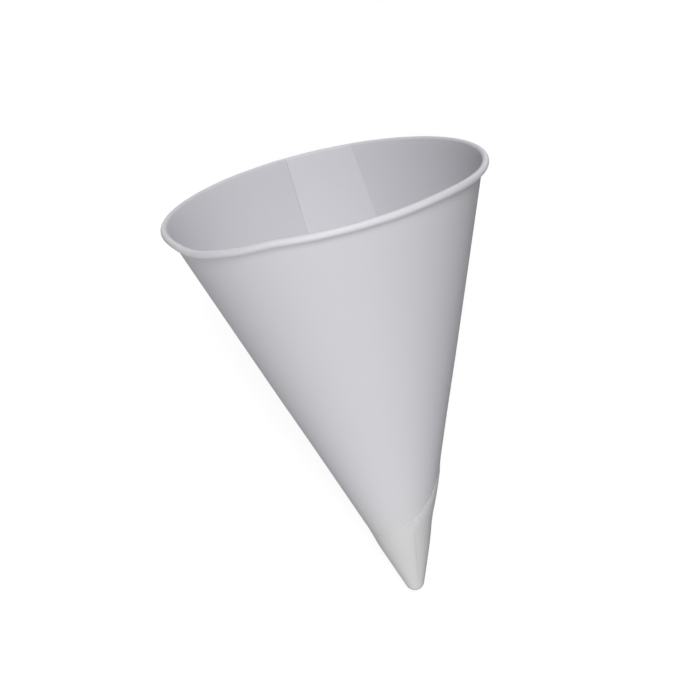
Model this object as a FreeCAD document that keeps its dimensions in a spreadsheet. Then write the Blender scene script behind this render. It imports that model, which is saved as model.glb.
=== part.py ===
import FreeCAD, Part
import math
import os

import Sketcher

# Cone paper cup, wound from one sheet and lying on its side as it comes to rest.
# The cup is drawn with its axis on Z, its mouth up and the centre of its tip at the origin.
# The cut edge that the sheet starts from lies in the XZ plane, on the +X side.
# A meridian section has r across and z up, and angles about the axis grow from X towards Y.
# The last step lays the cup down. Lengths are in millimetres and angles in degrees.

doc = FreeCAD.newDocument("cone_paper_cup")

# Driving sizes

SIZES = [
    ("rim_diameter", 70.0, "over the rolled rim"),
    ("cup_height", 95.0, "tip to the top of the rim, along the axis"),
    ("bead_diameter", 1.54, "thickness of the rolled rim"),
    ("curl_angle", 270.0, "how far the edge is rolled, in degrees"),
    ("paper", 0.3, "thickness of the sheet"),
    ("tip_diameter", 4.5, "roundness of the pressed tip"),
    ("tip_wall", 0.9, "paper pressed together under the point"),
    ("lap_width", 15.0, "overlap of the two plies at the rim"),
    ("cut_distance", 21.5, "apex of the flat sheet to the straight cut of its outer edge"),
    ("tip_wrap", 300.0, "how far the outer ply goes on round the tip, in degrees"),
    ("climb_ratio", 1.15, "length of the climb over the inner edge, taut paper is 1"),
    ("seam_turn", 27.5, "inner cut edge from the lowest line, its weight down, in degrees"),
]

sizes = doc.addObject("Spreadsheet::Sheet", "sizes")
for row, (alias, value, meaning) in enumerate(SIZES, start=1):
    sizes.set(f"A{row}", meaning)
    sizes.set(f"B{row}", str(value))
    sizes.setAlias(f"B{row}", alias)
doc.recompute()

paper = sizes.paper
rim_radius = sizes.rim_diameter / 2
bead_radius = sizes.bead_diameter / 2
tip_radius = sizes.tip_diameter / 2

# The cone between rim and tip
# The wall is straight. It touches the curl of the rim from inside and the ball of the tip.

bead_r = rim_radius - bead_radius
bead_z = sizes.cup_height - tip_radius - bead_radius
reach = math.hypot(bead_r, bead_z)
slope_of_centres = math.atan2(bead_r, bead_z)
half_angle = slope_of_centres - math.asin((bead_radius + tip_radius - 2 * paper) / reach)
rest_angle = slope_of_centres - math.asin((tip_radius - bead_radius) / reach)

along = (math.sin(half_angle), math.cos(half_angle))
outward = (math.cos(half_angle), -math.sin(half_angle))
ball_radius = tip_radius - paper


def near(point, out, up=0.0):
    """Section point moved square to the wall by out and along it, towards the rim, by up."""
    return (
        point[0] + outward[0] * out + along[0] * up,
        point[1] + outward[1] * out + along[1] * up,
    )


def flat(point):
    return FreeCAD.Vector(point[0], point[1], 0)


def in_space(point, turn):
    """Section point carried round the axis by turn, in radians."""
    return FreeCAD.Vector(point[0] * math.cos(turn), point[0] * math.sin(turn), point[1])


TIP = (0.0, 0.0)
BEAD = (bead_r, bead_z)


# Sketch helpers

def origin_plane(body, role):
    for feature in body.Origin.OriginFeatures:
        if feature.Role == role:
            return feature
    raise RuntimeError(f"{body.Name} has no {role}")


def section_sketch(body, name):
    sketch = body.newObject("Sketcher::SketchObject", name)
    sketch.AttachmentSupport = [(origin_plane(body, "XZ_Plane"), "")]
    sketch.MapMode = "FlatFace"
    return sketch


def arc(centre, radius, start, end):
    circle = Part.Circle(flat(centre), FreeCAD.Vector(0, 0, 1), radius)
    return Part.ArcOfCircle(circle, start, end)


def bind(sketch, kind, arguments, expression):
    """Add a measured constraint and tie it to the sheet."""
    index = sketch.addConstraint(Sketcher.Constraint(kind, *arguments))
    sketch.setExpression(f"Constraints[{index}]", expression)


def join(sketch, first, first_end, second, second_end, kind="Coincident"):
    sketch.addConstraint(Sketcher.Constraint(kind, first, first_end, second, second_end))


def around(centre, radius, angle):
    return (centre[0] + radius * math.cos(angle), centre[1] + radius * math.sin(angle))


def roll(sketch, guide, centre, radius, start, end, flats):
    """Equal short flats along a guide arc, every corner between them on it."""
    step = (end - start) / flats
    corners = [flat(around(centre, radius, start + step * count)) for count in range(flats + 1)]
    edges = [
        sketch.addGeometry(Part.LineSegment(first, second))
        for first, second in zip(corners, corners[1:])
    ]
    for first, second in zip(edges, edges[1:]):
        join(sketch, first, END, second, START)
        sketch.addConstraint(Sketcher.Constraint("PointOnObject", second, START, guide))
        sketch.addConstraint(Sketcher.Constraint("Equal", first, second))
    return edges[0], edges[-1]


START, END, CENTRE = 1, 2, 3
ORIGIN = (-1, 1)
AXIS = -2

# First turn: wall, rolled rim and pressed tip, in one section turned full circle
# The roll of the rim is drawn as short flats on its arc, as the paper creases there.
# Where the cup rests on it, it is round.

first_turn = doc.addObject("PartDesign::Body", "first_turn")
wall_section = section_sketch(first_turn, "wall_section")

curl_start = math.pi - half_angle
curl_end = curl_start - math.radians(sizes.curl_angle)
curl_inner_radius = bead_radius - paper
hollow_centre = (sizes.tip_wall - paper) / (1 - math.sin(half_angle))
hollow_radius = ball_radius - paper + hollow_centre * math.sin(half_angle)
HOLLOW = (0.0, hollow_centre)

CURL_FLATS = 12
flat_angle = math.radians(sizes.curl_angle) / CURL_FLATS
round_start = curl_end + 3 * flat_angle
round_end = round_start + 2 * flat_angle

ball = wall_section.addGeometry(arc(TIP, ball_radius, -math.pi / 2, -half_angle))
wall_outside = wall_section.addGeometry(
    Part.LineSegment(flat(near(TIP, ball_radius)), flat(near(BEAD, -curl_inner_radius)))
)
curl_inside = wall_section.addGeometry(
    arc(BEAD, curl_inner_radius, curl_end, curl_start), True
)
sheet_edge = wall_section.addGeometry(
    Part.LineSegment(
        flat(around(BEAD, curl_inner_radius, curl_end)), flat(around(BEAD, bead_radius, curl_end))
    )
)
curl_outside = wall_section.addGeometry(arc(BEAD, bead_radius, curl_end, curl_start), True)
rest_round = wall_section.addGeometry(arc(BEAD, bead_radius, round_start, round_end))
wall_inside = wall_section.addGeometry(
    Part.LineSegment(flat(near(BEAD, -bead_radius)), flat(near(HOLLOW, hollow_radius)))
)
hollow = wall_section.addGeometry(arc(HOLLOW, hollow_radius, -math.pi / 2, -half_angle))
on_axis = wall_section.addGeometry(
    Part.LineSegment(flat((0.0, hollow_centre - hollow_radius)), flat((0.0, -ball_radius)))
)

join(wall_section, ball, CENTRE, *ORIGIN)
join(wall_section, ball, END, wall_outside, START, "Tangent")
join(wall_section, wall_outside, END, curl_inside, END, "Tangent")
join(wall_section, curl_inside, START, sheet_edge, START)
join(wall_section, sheet_edge, END, curl_outside, START)
join(wall_section, curl_inside, CENTRE, curl_outside, CENTRE)
join(wall_section, curl_outside, END, wall_inside, START, "Tangent")
join(wall_section, wall_inside, END, hollow, END, "Tangent")
join(wall_section, hollow, START, on_axis, START)
join(wall_section, on_axis, END, ball, START)
inside_ends = roll(
    wall_section, curl_inside, BEAD, curl_inner_radius, curl_end, curl_start, CURL_FLATS
)
join(wall_section, inside_ends[0], START, curl_inside, START)
join(wall_section, inside_ends[1], END, curl_inside, END)
edge_ends = roll(wall_section, curl_outside, BEAD, bead_radius, curl_end, round_start, 3)
wall_ends = roll(
    wall_section, curl_outside, BEAD, bead_radius, round_end, curl_start, CURL_FLATS - 5
)
join(wall_section, edge_ends[0], START, curl_outside, START)
join(wall_section, edge_ends[1], END, rest_round, START)
join(wall_section, rest_round, END, wall_ends[0], START)
join(wall_section, wall_ends[1], END, curl_outside, END)
wall_section.addConstraint(Sketcher.Constraint("Equal", edge_ends[0], wall_ends[0]))
wall_section.addConstraint(Sketcher.Constraint("Equal", rest_round, curl_outside))
join(wall_section, rest_round, CENTRE, curl_outside, CENTRE)
wall_section.addConstraint(Sketcher.Constraint("Parallel", wall_outside, wall_inside))
wall_section.addConstraint(Sketcher.Constraint("PointOnObject", hollow, CENTRE, AXIS))
wall_section.addConstraint(Sketcher.Constraint("PointOnObject", on_axis, START, AXIS))
wall_section.addConstraint(Sketcher.Constraint("PointOnObject", on_axis, END, AXIS))
wall_section.addConstraint(Sketcher.Constraint("PointOnObject", curl_outside, CENTRE, sheet_edge))
bind(wall_section, "Radius", (ball, ball_radius), "sizes.tip_diameter / 2 - sizes.paper")
bind(wall_section, "Radius", (curl_outside, bead_radius), "sizes.bead_diameter / 2")
bind(
    wall_section,
    "Radius",
    (curl_inside, curl_inner_radius),
    "sizes.bead_diameter / 2 - sizes.paper",
)
bind(
    wall_section,
    "DistanceX",
    (*ORIGIN, curl_outside, CENTRE, bead_r),
    "(sizes.rim_diameter - sizes.bead_diameter) / 2",
)
bind(
    wall_section,
    "DistanceY",
    (*ORIGIN, curl_outside, CENTRE, bead_z),
    "sizes.cup_height - (sizes.tip_diameter + sizes.bead_diameter) / 2",
)
bind(
    wall_section,
    "DistanceY",
    (on_axis, END, on_axis, START, sizes.tip_wall),
    "sizes.tip_wall",
)
bind(
    wall_section,
    "Angle",
    (curl_outside, math.radians(sizes.curl_angle)),
    "sizes.curl_angle * 1 deg",
)
bind(wall_section, "Angle", (rest_round, 2 * flat_angle), f"sizes.curl_angle / {CURL_FLATS} * 2 deg")

wall_turned = first_turn.newObject("PartDesign::Revolution", "wall_turned")
wall_turned.Profile = wall_section
wall_turned.ReferenceAxis = (wall_section, ["V_Axis"])
wall_turned.Angle = 360
wall_section.Visibility = False

# Second turn: the outer ply, from over the inner cut edge on round the tip
# Its section reaches into the middle of the first ply, so that the glued plies are one solid.

second_turn = doc.addObject("PartDesign::Body", "second_turn")
ply_section = section_sketch(second_turn, "ply_section")

ply_ball = ply_section.addGeometry(arc(TIP, tip_radius, -math.pi / 2, -half_angle))
ply_outside = ply_section.addGeometry(
    Part.LineSegment(flat(near(TIP, tip_radius)), flat(near(BEAD, 2 * paper - bead_radius)))
)
ply_top = ply_section.addGeometry(
    Part.LineSegment(
        flat(near(BEAD, 2 * paper - bead_radius)), flat(near(BEAD, paper / 2 - bead_radius))
    )
)
glue_line = ply_section.addGeometry(
    Part.LineSegment(
        flat(near(BEAD, paper / 2 - bead_radius)), flat(near(TIP, ball_radius - paper / 2))
    )
)
glue_ball = ply_section.addGeometry(
    arc(TIP, ball_radius - paper / 2, -math.pi / 2, -half_angle)
)
ply_axis = ply_section.addGeometry(
    Part.LineSegment(flat((0.0, paper / 2 - ball_radius)), flat((0.0, -tip_radius)))
)
bead_centre = ply_section.addGeometry(Part.Point(flat(BEAD)), True)

join(ply_section, ply_ball, CENTRE, *ORIGIN)
join(ply_section, glue_ball, CENTRE, *ORIGIN)
join(ply_section, ply_ball, END, ply_outside, START, "Tangent")
join(ply_section, ply_outside, END, ply_top, START)
join(ply_section, ply_top, END, glue_line, START)
join(ply_section, glue_line, END, glue_ball, END, "Tangent")
join(ply_section, glue_ball, START, ply_axis, START)
join(ply_section, ply_axis, END, ply_ball, START)
ply_section.addConstraint(Sketcher.Constraint("PointOnObject", ply_axis, START, AXIS))
ply_section.addConstraint(Sketcher.Constraint("PointOnObject", ply_axis, END, AXIS))
ply_section.addConstraint(Sketcher.Constraint("Parallel", ply_outside, glue_line))
ply_section.addConstraint(Sketcher.Constraint("Perpendicular", ply_outside, ply_top))
ply_section.addConstraint(Sketcher.Constraint("PointOnObject", bead_centre, START, ply_top))
bind(ply_section, "Radius", (ply_ball, tip_radius), "sizes.tip_diameter / 2")
bind(
    ply_section,
    "Radius",
    (glue_ball, ball_radius - paper / 2),
    "sizes.tip_diameter / 2 - 1.5 * sizes.paper",
)
bind(
    ply_section,
    "DistanceX",
    (*ORIGIN, bead_centre, START, bead_r),
    "(sizes.rim_diameter - sizes.bead_diameter) / 2",
)
bind(
    ply_section,
    "DistanceY",
    (*ORIGIN, bead_centre, START, bead_z),
    "sizes.cup_height - (sizes.tip_diameter + sizes.bead_diameter) / 2",
)
bind(
    ply_section,
    "Distance",
    (bead_centre, START, glue_line, bead_radius - paper / 2),
    "(sizes.bead_diameter - sizes.paper) / 2",
)

ply_turned = second_turn.newObject("PartDesign::Revolution", "ply_turned")
ply_turned.Profile = ply_section
ply_turned.ReferenceAxis = (ply_section, ["V_Axis"])
ply_turned.Reversed = True
ply_turned.setExpression("Angle", "sizes.tip_wrap")
ply_section.Visibility = False
doc.recompute()

# Straight cut of the outer edge
# On the flat sheet it is one line that passes the apex at cut_distance. Wound up, it runs
# from the rim down the lap, round the cup and into the free edge at the tip.

apex_z = -(ball_radius - paper / 2) / math.sin(half_angle)
rim_slant = (bead_z - apex_z) * math.cos(half_angle) + bead_r * math.sin(half_angle)
lap_angle = sizes.lap_width / (rim_slant * math.sin(half_angle))
rim_look = math.acos(sizes.cut_distance / rim_slant)
CUT_STATIONS = 34
PAST_END = math.radians(2.0)
CLEAR = 2.0


def cut_point(look):
    """Section point and turn where the cut passes, look being the angle at the flat apex."""
    slant = sizes.cut_distance / math.cos(look)
    turn = -lap_angle - (rim_look - look) / math.sin(half_angle)
    return (slant * along[0], apex_z + slant * along[1]), turn


def waste_frame(look, top_slant):
    point, turn = cut_point(look)
    up = top_slant - sizes.cut_distance / math.cos(look)
    corners = [
        near(point, -CLEAR),
        near(point, CLEAR),
        near(point, CLEAR, up),
        near(point, -CLEAR, up),
    ]
    return Part.makePolygon([in_space(corner, turn) for corner in corners + corners[:1]])


last_look = rim_look - (math.radians(sizes.tip_wrap) - lap_angle) * math.sin(half_angle)
first_look = rim_look + PAST_END / 4
looks = [
    first_look + (last_look - PAST_END - first_look) * step / (CUT_STATIONS - 1)
    for step in range(CUT_STATIONS)
]
waste_top = sizes.cut_distance / math.cos(first_look) + CLEAR
waste = doc.addObject("Part::Feature", "waste_past_the_cut")
waste.Shape = Part.makeLoft([waste_frame(look, waste_top) for look in looks], True, False)

lap = doc.addObject("Part::Cut", "lap")
lap.Base = second_turn
lap.Tool = waste

# Climb of the outer ply over the inner cut edge
# Taut paper leaves the first turn along a tangent. The same wedge, one ply further in,
# opens the inside so that the inner cut edge stands free there.

DIVE = 0.1


def wedge_frame(z, inner, outer, end):
    """Level section of a climb: from the cut edge at turn 0 to its run-out."""
    run_out = sizes.climb_ratio * math.acos(end / outer)
    points = [
        in_space((inner, z), 0.0),
        in_space((outer, z), 0.0),
        in_space((end, z), run_out),
        in_space((inner, z), run_out),
    ]
    return Part.makePolygon(points + points[:1])


def wedge(low, high, ply, under):
    """Climb between two heights, its low side on the face that is ply plies out."""
    level = paper / math.cos(half_angle)
    frames = []
    for z in (low, high):
        face = (z - apex_z) * math.tan(half_angle) + (ply - 0.5) * level
        frames.append(wedge_frame(z, face - under, face + level, face - DIVE))
    return Part.makeLoft(frames, True, True)


climb = doc.addObject("Part::Feature", "climb")
climb.Shape = wedge(0.0, bead_z - bead_radius, 1, paper / 2)
step_inside = doc.addObject("Part::Feature", "step_inside")
step_inside.Shape = wedge(hollow_centre + CLEAR, bead_z - bead_radius, 0, CLEAR)

plies = doc.addObject("Part::MultiFuse", "plies")
plies.Shapes = [first_turn, lap, climb]

paper_cone = doc.addObject("Part::Cut", "paper_cone")
paper_cone.Label = "paper_cone"
paper_cone.Base = plies
paper_cone.Tool = step_inside

# The cup laid on its side, its lap down, resting on the rolled rim and the tip

length = bead_z * math.cos(rest_angle) + bead_r * math.sin(rest_angle) + bead_radius + tip_radius
seam = FreeCAD.Rotation(FreeCAD.Vector(0, 0, 1), 90 + sizes.seam_turn)
lay_down = FreeCAD.Rotation(FreeCAD.Vector(1, 0, 0), math.degrees(rest_angle) - 90)
place = FreeCAD.Vector(0, tip_radius - length / 2, tip_radius)
paper_cone.Placement = FreeCAD.Placement(place, lay_down.multiply(seam))
doc.recompute()

# Checks and export

for item in doc.Objects:
    if "Invalid" in item.State or "Error" in item.State:
        raise RuntimeError(f"{item.Name} failed: {item.State}")
shape = paper_cone.Shape
if shape.isNull() or not shape.isValid() or len(shape.Solids) != 1:
    raise RuntimeError("paper_cone is not one valid solid")

print("half angle", round(math.degrees(half_angle), 3), "rest angle", round(math.degrees(rest_angle), 3))
print("volume", round(shape.Volume, 1), "area", round(shape.Area, 1), "faces", len(shape.Faces))
print("box", shape.optimalBoundingBox())
print("centre of mass", shape.Solids[0].CenterOfMass)

os.makedirs("parts", exist_ok=True)
shape.exportStep(f"parts/{paper_cone.Label}.step")
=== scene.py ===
"""A cone paper cup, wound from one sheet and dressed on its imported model."""

import math

import bmesh
import bpy
from mathutils import Matrix, Vector


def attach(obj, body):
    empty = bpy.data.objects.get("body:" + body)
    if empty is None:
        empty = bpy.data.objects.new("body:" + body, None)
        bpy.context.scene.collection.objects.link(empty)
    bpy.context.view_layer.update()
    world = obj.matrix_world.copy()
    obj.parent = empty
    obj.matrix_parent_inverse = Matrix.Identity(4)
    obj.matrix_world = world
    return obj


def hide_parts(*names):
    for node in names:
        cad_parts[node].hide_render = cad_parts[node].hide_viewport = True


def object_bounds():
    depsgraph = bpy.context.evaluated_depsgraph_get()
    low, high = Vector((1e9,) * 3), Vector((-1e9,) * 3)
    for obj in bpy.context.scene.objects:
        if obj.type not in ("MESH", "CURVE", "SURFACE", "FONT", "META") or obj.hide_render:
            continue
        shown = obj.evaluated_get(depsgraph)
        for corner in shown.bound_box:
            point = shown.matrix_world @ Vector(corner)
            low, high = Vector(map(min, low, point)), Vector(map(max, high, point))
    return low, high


bl_info = {
    "name": "Cone paper cup",
    "version": (1, 0, 0),
    "blender": (4, 5, 0),
    "location": "3D View > Sidebar > Cone cup",
    "description": "Winds a paper cone with a rolled rim from one flat sheet",
    "category": "Object",
}

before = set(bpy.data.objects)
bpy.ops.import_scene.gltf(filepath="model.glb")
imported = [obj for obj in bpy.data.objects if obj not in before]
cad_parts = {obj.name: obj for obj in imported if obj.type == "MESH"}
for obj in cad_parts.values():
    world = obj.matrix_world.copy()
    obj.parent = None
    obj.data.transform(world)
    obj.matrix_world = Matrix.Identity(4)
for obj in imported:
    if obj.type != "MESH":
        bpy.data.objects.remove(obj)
CAD_LOW, CAD_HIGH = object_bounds()
MM = 0.001
PHOTO_SEAM = 11.0  # degrees from the lowest line of a cup seen from straight above


# Sizes and finishes that a user may change


class ConeCupSizes(bpy.types.PropertyGroup):
    """Sizes of the wound cup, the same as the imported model's."""

    rim_diameter: bpy.props.FloatProperty(
        name="Rim diameter",
        description="Over the rolled rim",
        default=CAD_HIGH.x - CAD_LOW.x,
        unit="LENGTH",
    )
    cup_height: bpy.props.FloatProperty(
        name="Cup height",
        description="Tip to the top of the rim, along the axis",
        default=95.0 * MM,
        unit="LENGTH",
    )
    bead_diameter: bpy.props.FloatProperty(
        name="Rim thickness",
        description="Thickness of the rolled rim",
        default=1.54 * MM,
        unit="LENGTH",
    )
    curl_angle: bpy.props.FloatProperty(
        name="Curl angle",
        description="How far the edge is rolled",
        default=math.radians(270.0),
        subtype="ANGLE",
    )
    paper: bpy.props.FloatProperty(
        name="Ply pitch",
        description="From the middle of one ply to the middle of the next",
        default=0.3 * MM,
        unit="LENGTH",
    )
    ply: bpy.props.FloatProperty(
        name="Paper thickness",
        description="Thickness of the sheet itself",
        default=0.28 * MM,
        unit="LENGTH",
    )
    tip_diameter: bpy.props.FloatProperty(
        name="Tip diameter",
        description="Roundness of the pressed tip",
        default=4.5 * MM,
        unit="LENGTH",
    )
    lap_width: bpy.props.FloatProperty(
        name="Lap width",
        description="Overlap of the two plies at the rim",
        default=15.0 * MM,
        unit="LENGTH",
    )
    cut_distance: bpy.props.FloatProperty(
        name="Cut distance",
        description="Apex of the flat sheet to the straight cut of its outer edge",
        default=21.5 * MM,
        unit="LENGTH",
    )
    tip_wrap: bpy.props.FloatProperty(
        name="Tip wrap",
        description="How far the outer ply goes on round the tip",
        default=math.radians(300.0),
        subtype="ANGLE",
    )
    seam_turn: bpy.props.FloatProperty(
        name="Seam turn",
        description="Inner cut edge from the lowest line of the cup",
        default=math.radians(27.5),
        subtype="ANGLE",
    )


class ConeCupPaper(bpy.types.PropertyGroup):
    """Look of the paper."""

    wall_colour: bpy.props.FloatVectorProperty(
        name="Wall colour",
        description="White paper with a cool cast",
        default=(0.795, 0.785, 0.83),
        subtype="COLOR",
        min=0.0,
        max=1.0,
    )
    tip_colour: bpy.props.FloatVectorProperty(
        name="Tip colour",
        description="Pressed paper of the tip, a neutral white",
        default=(0.78, 0.78, 0.785),
        subtype="COLOR",
        min=0.0,
        max=1.0,
    )
    # lighter than the wall: a painted highlight on the outside of the rolled rim
    painted_rim_highlight: bpy.props.FloatVectorProperty(
        name="Rolled rim",
        description="Where the paper is rolled and pressed smooth",
        default=(0.85, 0.84, 0.88),
        subtype="COLOR",
        min=0.0,
        max=1.0,
    )
    single_ply: bpy.props.FloatProperty(
        name="Single ply",
        description="How light the inside is where no second ply backs it",
        default=0.92,
        min=0.5,
        max=1.0,
    )
    roughness: bpy.props.FloatProperty(
        name="Roughness",
        description="Uncoated paper is matt",
        default=0.72,
        min=0.0,
        max=1.0,
    )
    burnish: bpy.props.FloatProperty(
        name="Burnished rim",
        description="Sheen of the rolled rim, where the paper is pressed smooth",
        default=0.3,
        min=0.0,
        max=1.0,
    )


class ConeCupStage(bpy.types.PropertyGroup):
    """Camera, lamps and fill. A lamp's level is how bright a white sheet that faces it is."""

    lens: bpy.props.FloatProperty(
        name="Lens",
        description="Focal length on a 36 mm wide sensor",
        default=102.857,
    )
    front_level: bpy.props.FloatProperty(
        name="Front lamp",
        description="From over the camera",
        default=0.437,
        min=0.0,
    )
    tip_level: bpy.props.FloatProperty(
        name="Tip lamp",
        description="Low light that rakes the wall from the tip's side",
        default=0.487,
        min=0.0,
    )
    mouth_level: bpy.props.FloatProperty(
        name="Mouth lamp",
        description="Low light into the mouth",
        default=0.349,
        min=0.0,
    )
    fill_level: bpy.props.FloatProperty(
        name="Fill level",
        description="Even light from all round",
        default=0.08,
        min=0.0,
    )


# The sheet, flat and wound


class Winding:
    """Takes a point of the flat sheet to its place on the cup.

    Flat, the apex of the cone is at the origin, the starting edge lies along X and the
    height is the distance out from the middle of the sheet.
    """

    def __init__(self, sizes):
        self.paper = sizes.paper
        bead = sizes.bead_diameter / 2
        tip = sizes.tip_diameter / 2
        self.bead_r = sizes.rim_diameter / 2 - bead
        self.bead_z = sizes.cup_height - tip - bead
        reach = math.hypot(self.bead_r, self.bead_z)
        slope = math.atan2(self.bead_r, self.bead_z)
        self.half = slope - math.asin((bead + tip - 2 * sizes.paper) / reach)
        rest = slope - math.asin((tip - bead) / reach)
        self.sine = math.sin(self.half)
        self.cosine = math.cos(self.half)
        self.ball = tip - 1.5 * sizes.paper
        self.ball_slant = self.ball * self.cosine / self.sine
        self.roll = bead - sizes.paper / 2
        self.apex_z = -self.ball / self.sine
        self.rim_slant = (self.bead_z - self.apex_z) * self.cosine + self.bead_r * self.sine
        self.end_slant = self.rim_slant + self.roll * sizes.curl_angle
        self.turn = math.tau * self.sine
        self.wound = (math.tau + sizes.tip_wrap) * self.sine
        lap_angle = sizes.lap_width / (self.rim_slant * self.sine)
        rim_look = math.acos(sizes.cut_distance / self.rim_slant)
        self.cut_foot = (math.tau + lap_angle) * self.sine + rim_look
        length = self.bead_z * math.cos(rest) + self.bead_r * math.sin(rest) + bead + tip
        self.place = (
            Matrix.Translation((0, tip - length / 2, tip))
            @ Matrix.Rotation(rest - math.pi / 2, 4, "X")
            @ Matrix.Rotation(math.pi / 2 + sizes.seam_turn, 4, "Z")
        )
        self.axis = Vector((0, math.cos(rest), math.sin(rest)))
        self.rim_centre = self.place @ Vector((0, 0, self.bead_z))

    def section(self, slant, out):
        """Distance from the axis and height of a point in the meridian section."""
        if slant < self.ball_slant:
            polar = (math.pi / 2 - self.half) * slant / self.ball_slant
            return (self.ball + out) * math.sin(polar), -(self.ball + out) * math.cos(polar)
        if slant <= self.rim_slant:
            r = slant * self.sine + out * self.cosine
            return r, self.apex_z + slant * self.cosine - out * self.sine
        curl = math.pi - self.half - (slant - self.rim_slant) / self.roll
        radius = self.roll - out
        return self.bead_r + radius * math.cos(curl), self.bead_z + radius * math.sin(curl)

    def climb(self, slant, turn):
        """How far out the sheet is: none on the first turn, a ply on the second.

        On the wall it leaves the first turn along a tangent. In the roll of the rim it
        slips under the starting edge instead, so that the roll stays round.
        """
        radius, _ = self.section(slant, 0.0)
        run_out = math.acos(radius / (radius + self.paper))
        left = math.tau - turn
        if left <= 0:
            taut = self.paper
        elif left < run_out:
            taut = radius / math.cos(run_out - left) - radius
        else:
            taut = 0.0
        rolled = ramp(slant, self.rim_slant, self.rim_slant + 0.8 * MM)
        before = 0.15 * ramp(turn, math.tau - 0.03, math.tau)
        after = 0.85 * ramp(turn, math.tau, math.tau + 0.05)
        slipped = self.paper * (before + after)
        return taut * (1 - rolled) + slipped * rolled

    def wind(self, flat, relief):
        """The place on the cup of a point of the flat sheet."""
        slant = math.hypot(flat.x, flat.y)
        bearing = math.atan2(flat.y, flat.x)
        if bearing < -0.01:
            bearing += math.tau
        turn = max(bearing, 0.0) / self.sine
        out = flat.z + self.climb(slant, turn) + relief(slant, turn)
        radius, height = self.section(slant, out)
        reach = relief.reach(slant, turn)
        radius += reach * self.sine
        height += reach * self.cosine
        return self.place @ Vector((radius * math.cos(turn), -radius * math.sin(turn), height))


def bump_shape(value, centre, width):
    """Smooth hump of height 1 about a centre."""
    return math.exp(-(((value - centre) / width) ** 2))


def ramp(value, low, high):
    """Smooth step from 0 at low to 1 at high, which may be the smaller of the two."""
    share = min(max((value - low) / (high - low), 0.0), 1.0)
    return share * share * (3 - 2 * share)


class Relief:
    """Small unevenness of the paper: pressed seam edge, tip crease and rim crinkles.

    Angles are degrees round the cup from its lowest line in the photo, lengths mm.
    """

    SECOND_TURN = math.tau - 0.2  # just before the second ply starts, in radians
    TIP_END = 45.0  # slant below which the wrapped tip has its own relief
    EDGE_DROP = 0.25
    HOLLOW = 0.26
    CREASE_RISE = 0.09
    PLIES_PRESSED = 0.1
    CRINKLES = ((114.0, 0.07), (120.0, 0.09), (126.5, 0.06))
    CRINKLE_WIDTH = 1.3
    FRONT_RISE = 1.2
    RIM_DIP = 1.15

    def __init__(self, winding, sizes):
        self.winding = winding
        self.cut_distance = sizes.cut_distance

    def __call__(self, slant, turn):
        about = PHOTO_SEAM - math.degrees(turn)
        second = turn > self.SECOND_TURN
        if second:
            about += 360.0
        out = 0.0
        mm = slant / MM
        if second and mm < self.TIP_END:
            look = self.winding.cut_foot - turn * self.winding.sine
            inside = self.cut_distance - slant * math.cos(look)
            # the pressed edge slopes down to the ply below, more gently past the crease
            width = 1.3 + 3.2 * ramp(-about, 156, 170)
            pressed = (1 - ramp(inside / MM, 0.0, width)) * ramp(-about, 60, 90)
            out -= self.EDGE_DROP * pressed * ramp(mm, self.TIP_END, 38)
            # hollow beside the seam, on the right of the tip
            hollow = bump_shape(mm, 21.5, 4.0) * bump_shape(about, -100.0, 38.0)
            out -= self.HOLLOW * hollow
            # crease down the tip: the paper left of it lies a little higher
            rise = ramp(-about, 190, 165) if about < -165 else ramp(-about, 160, 164)
            out += self.CREASE_RISE * rise * ramp(mm, 6, 10)
        # two pressed plies lie thinner towards the tip
        out -= self.PLIES_PRESSED * ramp(mm, 62, 45)
        # crinkles of the rim
        if slant > self.winding.rim_slant - 2 * MM:
            rim = self.winding.rim_slant / MM
            edge = ramp(mm, rim - 2, rim + 0.5)
            round_way = about % 360
            for centre, height in self.CRINKLES:
                out -= height * bump_shape(round_way, centre, self.CRINKLE_WIDTH) * edge
        return out * MM

    def reach(self, slant, turn):
        """How much longer the wall is than drawn: the rim of soft paper isn't quite level.

        It stands higher along the front and dips at the crinkles.
        """
        round_way = (PHOTO_SEAM - math.degrees(turn)) % 360
        front = ramp(round_way, 141, 163) * ramp(round_way, 258, 215)
        dip = bump_shape(round_way, 124, 15)
        rim = self.winding.rim_slant
        share = ramp(slant, rim - 28 * MM, rim)
        near_share = ramp(slant, rim - 9 * MM, rim)
        return (self.FRONT_RISE * front * share - self.RIM_DIP * dip * near_share) * MM


DEGREES_A_STEP = 1.2


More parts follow.
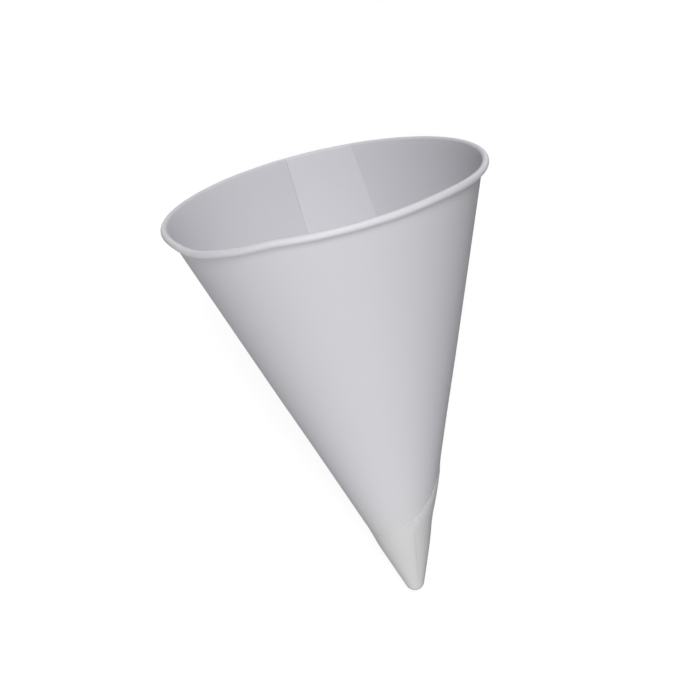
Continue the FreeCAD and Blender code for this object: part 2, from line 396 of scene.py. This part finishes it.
def flat_blank(sizes, winding):
    """The sheet as it is cut: a fan about the apex, trimmed by one straight cut."""
    sheet = bmesh.new()
    # a row of points from next to the apex to the end of the curl, closer in the curves
    reached = 0.001 * MM
    end = bmesh.ops.create_vert(sheet, co=(reached, 0, 0))["vert"]
    stretches = (
        (winding.ball_slant, 9),
        (30 * MM, 22),
        (winding.rim_slant, 30),
        (winding.end_slant, 19),
    )
    for stop, count in stretches:
        for _ in range(count):
            end = bmesh.ops.extrude_vert_indiv(sheet, verts=end)["verts"]
            bmesh.ops.translate(sheet, verts=end, vec=((stop - reached) / count, 0, 0))
        reached = stop
    steps = round(math.degrees(winding.wound / winding.sine) / DEGREES_A_STEP)
    bmesh.ops.spin(
        sheet,
        geom=sheet.verts[:] + sheet.edges[:],
        cent=(0, 0, 0),
        axis=(0, 0, 1),
        dvec=(0, 0, 0),
        angle=winding.wound,
        steps=steps,
    )
    # the straight cut of the outer edge
    way = Vector((math.cos(winding.cut_foot), math.sin(winding.cut_foot), 0))
    bmesh.ops.bisect_plane(
        sheet,
        geom=sheet.verts[:] + sheet.edges[:] + sheet.faces[:],
        dist=1e-7,
        plane_co=way * sizes.cut_distance,
        plane_no=way,
        clear_outer=True,
    )
    # the thickness of the paper, half to each side
    bmesh.ops.translate(sheet, verts=sheet.verts, vec=(0, 0, -sizes.ply / 2))
    doubled = bmesh.ops.extrude_face_region(sheet, geom=sheet.faces[:], use_keep_orig=True)
    lifted = [item for item in doubled["geom"] if isinstance(item, bmesh.types.BMVert)]
    bmesh.ops.translate(sheet, verts=lifted, vec=(0, 0, sizes.ply))
    bmesh.ops.recalc_face_normals(sheet, faces=sheet.faces)
    return sheet


def wound_cup(sizes):
    """The cup's mesh, with the flat sheet kept as its UV map."""
    winding = Winding(sizes)
    sheet = flat_blank(sizes, winding)
    flat_map = sheet.loops.layers.uv.new("flat_sheet")
    inner = sheet.faces.layers.float.new("inner_face")
    for face in sheet.faces:
        face.smooth = True
        face[inner] = 1.0 if face.normal.z < -0.5 else 0.0
        for loop in face.loops:
            loop[flat_map].uv = loop.vert.co.xy
    for edge in sheet.edges:
        edge.smooth = edge.calc_face_angle(0.0) < math.radians(45)
    relief = Relief(winding, sizes)
    for vert in sheet.verts:
        vert.co = winding.wind(vert.co, relief)
    bmesh.ops.remove_doubles(sheet, verts=sheet.verts, dist=0.004 * MM)
    mesh = bpy.data.meshes.new("wound_paper")
    sheet.to_mesh(mesh)
    sheet.free()
    return mesh, winding


# Materials


class Value:
    """A socket that carries a number, with arithmetic that adds Math nodes."""

    def __init__(self, paint, socket):
        self.paint = paint
        self.socket = socket

    def _maths(self, operation, first, second):
        return self.paint.node(
            "ShaderNodeMath", {"operation": operation}, {0: first, 1: second}
        )

    def __add__(self, other):
        return self._maths("ADD", self, other)

    def __sub__(self, other):
        return self._maths("SUBTRACT", self, other)

    def __rsub__(self, other):
        return self._maths("SUBTRACT", other, self)

    def __mul__(self, other):
        return self._maths("MULTIPLY", self, other)

    def __lt__(self, other):
        return self._maths("LESS_THAN", self, other)

    def __gt__(self, other):
        return self._maths("GREATER_THAN", self, other)


class Paint:
    """One material under construction."""

    def __init__(self, name):
        self.material = bpy.data.materials.new(name)
        self.material.use_nodes = True
        self.tree = self.material.node_tree
        self.tree.nodes.clear()

    def node(self, kind, settings, values, output=0):
        """Add a node: its settings first, then values or links of its sockets."""
        made = self.tree.nodes.new(kind)
        for name, value in settings.items():
            setattr(made, name, value)
        for key, value in values.items():
            if isinstance(value, Value):
                self.tree.links.new(value.socket, made.inputs[key])
            else:
                made.inputs[key].default_value = value
        return Value(self, made.outputs[output])

    def fade(self, value, low, high):
        """0 below low and 1 above high; sockets 0 to 4 are value, from and to."""
        values = {0: value, 1: low, 2: high, 3: 0.0, 4: 1.0}
        return self.node("ShaderNodeMapRange", {"clamp": True}, values)

    def higher(self, first, second):
        return self.node("ShaderNodeMath", {"operation": "MAXIMUM"}, {0: first, 1: second})

    def noise(self, where, scale, detail):
        values = {"Vector": where, "Scale": scale, "Detail": detail}
        return self.node("ShaderNodeTexNoise", {}, values)

    def blend(self, share, first, second):
        """Colour mix; sockets 0, 6 and 7 are its factor and its two colours."""
        settings = {"data_type": "RGBA", "blend_type": "MIX"}
        return self.node("ShaderNodeMix", settings, {0: share, 6: first, 7: second}, 2)

    def finish(self, surface):
        output = self.tree.nodes.new("ShaderNodeOutputMaterial")
        self.tree.links.new(surface.socket, output.inputs["Surface"])
        return self.material


WHITE = (1.0, 1.0, 1.0)


def opaque(colour, factor=1.0):
    return (colour[0] * factor, colour[1] * factor, colour[2] * factor, 1.0)


GREY_FIBRE = (0.72, 0.71, 0.74, 1.0)


def paper_material(look, sizes, winding):
    """White cup paper: lighter where two plies lie on each other, neutral at the tip."""
    paint = Paint("white_cup_paper")
    flat = paint.node("ShaderNodeUVMap", {"uv_map": "flat_sheet"}, {})
    x, y = (paint.node("ShaderNodeSeparateXYZ", {}, {0: flat}, part) for part in (0, 1))
    inner = paint.node("ShaderNodeAttribute", {"attribute_name": "inner_face"}, {}, 2)

    # a first turn point is backed where the sheet, one full turn on, is inside the cut
    foot = winding.cut_foot - winding.turn
    across = x * math.cos(foot) + y * math.sin(foot)
    first_turn = (y > 0.0) * (x * math.sin(winding.turn) > y * math.cos(winding.turn))
    backed = first_turn * (across < sizes.cut_distance)
    single = inner * (1 - backed)

    slant_squared = x * x + y * y
    wall = paint.fade(slant_squared, (20 * MM) ** 2, (34 * MM) ** 2)
    # the outside of the rolled rim: its lighter colour is a painted highlight on the bead, and
    # the coat there gives a real sheen
    roll_start = (winding.rim_slant + 0.4 * MM) ** 2
    pressed = paint.fade(slant_squared, roll_start, (winding.rim_slant + 1.0 * MM) ** 2)
    cloud = paint.noise(flat, 70.0, 3.0)
    fibre = paint.noise(flat, 1600.0, 4.0)

    two_ply = paint.blend(wall, opaque(look.tip_colour), opaque(look.wall_colour))
    one_ply = opaque(look.wall_colour, look.single_ply)
    bare = paint.blend(single, two_ply, one_ply)
    # painted highlight: the outside of the rolled rim takes the lighter rim colour
    bare = paint.blend(pressed, bare, opaque(look.painted_rim_highlight))
    share = (cloud - 0.5) * 0.10 + (fibre - 0.5) * 0.10 + 0.05
    mottle = paint.blend(share, bare, GREY_FIBRE)
    height = fibre * 0.6 + cloud * 0.4
    normal = paint.node(
        "ShaderNodeBump", {}, {"Strength": 0.12, "Distance": 0.03 * MM, "Height": height}
    )
    surface = paint.node(
        "ShaderNodeBsdfPrincipled",
        {},
        {
            "Base Color": mottle,
            "Roughness": look.roughness,
            "Specular IOR Level": 0.25,
            "Coat Weight": pressed * look.burnish,
            "Coat Roughness": 0.32,
            "Normal": normal,
        },
    )
    return paint.finish(surface)


def floor_material():
    """White to the camera and in reflections, dim to the light that it would bounce."""
    paint = Paint("studio_floor")
    # outputs of the Light Path node: camera, glossy and transmission rays
    direct, glossy, through = (
        paint.node("ShaderNodeLightPath", {}, {}, ray) for ray in (0, 3, 6)
    )
    seen = paint.higher(paint.higher(direct, glossy), through)
    bounce = paint.node("ShaderNodeBsdfDiffuse", {}, {"Color": opaque(WHITE, 0.12)})
    lit = paint.node("ShaderNodeBsdfDiffuse", {}, {"Color": opaque(WHITE, 0.22)})
    glow = paint.node("ShaderNodeEmission", {}, {"Color": opaque(WHITE), "Strength": 0.86})
    shown = paint.node("ShaderNodeAddShader", {}, {0: lit, 1: glow})
    surface = paint.node("ShaderNodeMixShader", {}, {0: seen, 1: bounce, 2: shown})
    return paint.finish(surface)


# Operators


class CONECUP_OT_wind_paper(bpy.types.Operator):
    """Wind the cup from its flat sheet and give it its paper."""

    bl_idname = "cone_cup.wind_paper"
    bl_label = "Wind the paper cone"

    def execute(self, context):
        sizes = context.scene.cone_cup_sizes
        mesh, winding = wound_cup(sizes)
        cup = bpy.data.objects.new("wound_paper_cone", mesh)
        context.scene.collection.objects.link(cup)
        mesh.materials.append(paper_material(context.scene.cone_cup_paper, sizes, winding))
        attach(cup, "root")
        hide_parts("paper_cone")
        return {"FINISHED"}


class CONECUP_OT_set_stage(bpy.types.Operator):
    """Set the floor, the lamps and the camera about the lying cup."""

    bl_idname = "cone_cup.set_stage"
    bl_label = "Set the stage"

    ROLL = math.radians(13.27)
    CAMERA = Vector((-2.26, 5.19, 449.6)) * MM
    SENSOR = 36.0
    # name, setting, lean from the camera's line of sight and width, both in degrees
    LAMPS = (
        ("front_lamp", "front_level", 17.5, 22.0),
        ("tip_lamp", "tip_level", -52.0, 36.0),
        ("mouth_lamp", "mouth_level", 65.0, 30.0),
    )
    FLOOR_HALF = 3.0

    def execute(self, context):
        scene = context.scene
        stage = scene.cone_cup_stage
        winding = Winding(scene.cone_cup_sizes)

        # the view is square to the floor for a cup whose seam lies PHOTO_SEAM from its
        # lowest line, so it is carried round the cup's axis with the seam
        centre = winding.rim_centre
        turned = scene.cone_cup_sizes.seam_turn - math.radians(PHOTO_SEAM)
        swing = Matrix.Rotation(turned, 4, winding.axis)
        carried = Matrix.Translation(centre) @ swing @ Matrix.Translation(-centre)
        look_down = Matrix.Translation(self.CAMERA) @ Matrix.Rotation(-self.ROLL, 4, "Z")
        camera_data = bpy.data.cameras.new("camera")
        camera_data.lens = stage.lens
        camera_data.sensor_width = self.SENSOR
        camera = bpy.data.objects.new("camera", camera_data)
        camera.matrix_world = carried @ look_down
        scene.collection.objects.link(camera)
        scene.camera = camera

        # each lamp leans up or down in the picture
        for name, setting, lean, width in self.LAMPS:
            light = bpy.data.lights.new(name, "SUN")
            light.energy = math.pi * getattr(stage, setting)
            light.angle = math.radians(width)
            lamp = bpy.data.objects.new(name, light)
            leaned = Matrix.Rotation(-math.radians(lean), 4, "X")
            lamp.matrix_world = camera.matrix_world @ leaned
            scene.collection.objects.link(lamp)

        ground = bmesh.new()
        bmesh.ops.create_grid(ground, x_segments=1, y_segments=1, size=self.FLOOR_HALF)
        bmesh.ops.translate(ground, verts=ground.verts, vec=(0, 0, -0.1 * MM))
        floor_mesh = bpy.data.meshes.new("studio_floor")
        ground.to_mesh(floor_mesh)
        ground.free()
        floor_mesh.materials.append(floor_material())
        floor = bpy.data.objects.new("studio_floor", floor_mesh)
        scene.collection.objects.link(floor)

        # white to the camera, an even fill to the cup
        world = bpy.data.worlds.new("studio")
        world.use_nodes = True
        tree = world.node_tree
        fill = tree.nodes["Background"]
        fill.inputs["Strength"].default_value = stage.fill_level
        backdrop = tree.nodes.new("ShaderNodeBackground")
        rays = tree.nodes.new("ShaderNodeLightPath")
        mix = tree.nodes.new("ShaderNodeMixShader")
        tree.links.new(rays.outputs["Is Camera Ray"], mix.inputs[0])
        tree.links.new(fill.outputs[0], mix.inputs[1])
        tree.links.new(backdrop.outputs[0], mix.inputs[2])
        tree.links.new(mix.outputs[0], tree.nodes["World Output"].inputs["Surface"])
        fill.inputs["Color"].default_value = opaque(WHITE)
        backdrop.inputs["Color"].default_value = opaque(WHITE)
        scene.world = world
        scene.view_settings.view_transform = "Standard"
        return {"FINISHED"}


class CONECUP_PT_sidebar(bpy.types.Panel):
    """Sizes, paper and stage of the cone cup."""

    bl_idname = "CONECUP_PT_sidebar"
    bl_label = "Cone cup"
    bl_space_type = "VIEW_3D"
    bl_region_type = "UI"
    bl_category = "Cone cup"

    def draw(self, context):
        for group in ("cone_cup_sizes", "cone_cup_paper", "cone_cup_stage"):
            values = getattr(context.scene, group)
            for name in values.__annotations__:
                self.layout.prop(values, name)
        self.layout.operator(CONECUP_OT_wind_paper.bl_idname)
        self.layout.operator(CONECUP_OT_set_stage.bl_idname)


CLASSES = (
    ConeCupSizes,
    ConeCupPaper,
    ConeCupStage,
    CONECUP_OT_wind_paper,
    CONECUP_OT_set_stage,
    CONECUP_PT_sidebar,
)


def register():
    for each in CLASSES:
        bpy.utils.register_class(each)
    bpy.types.Scene.cone_cup_sizes = bpy.props.PointerProperty(type=ConeCupSizes)
    bpy.types.Scene.cone_cup_paper = bpy.props.PointerProperty(type=ConeCupPaper)
    bpy.types.Scene.cone_cup_stage = bpy.props.PointerProperty(type=ConeCupStage)


def unregister():
    del bpy.types.Scene.cone_cup_sizes
    del bpy.types.Scene.cone_cup_paper
    del bpy.types.Scene.cone_cup_stage
    for each in reversed(CLASSES):
        bpy.utils.unregister_class(each)


def main():
    register()
    bpy.ops.cone_cup.wind_paper()
    bpy.ops.cone_cup.set_stage()


if __name__ == "__main__":
    main()
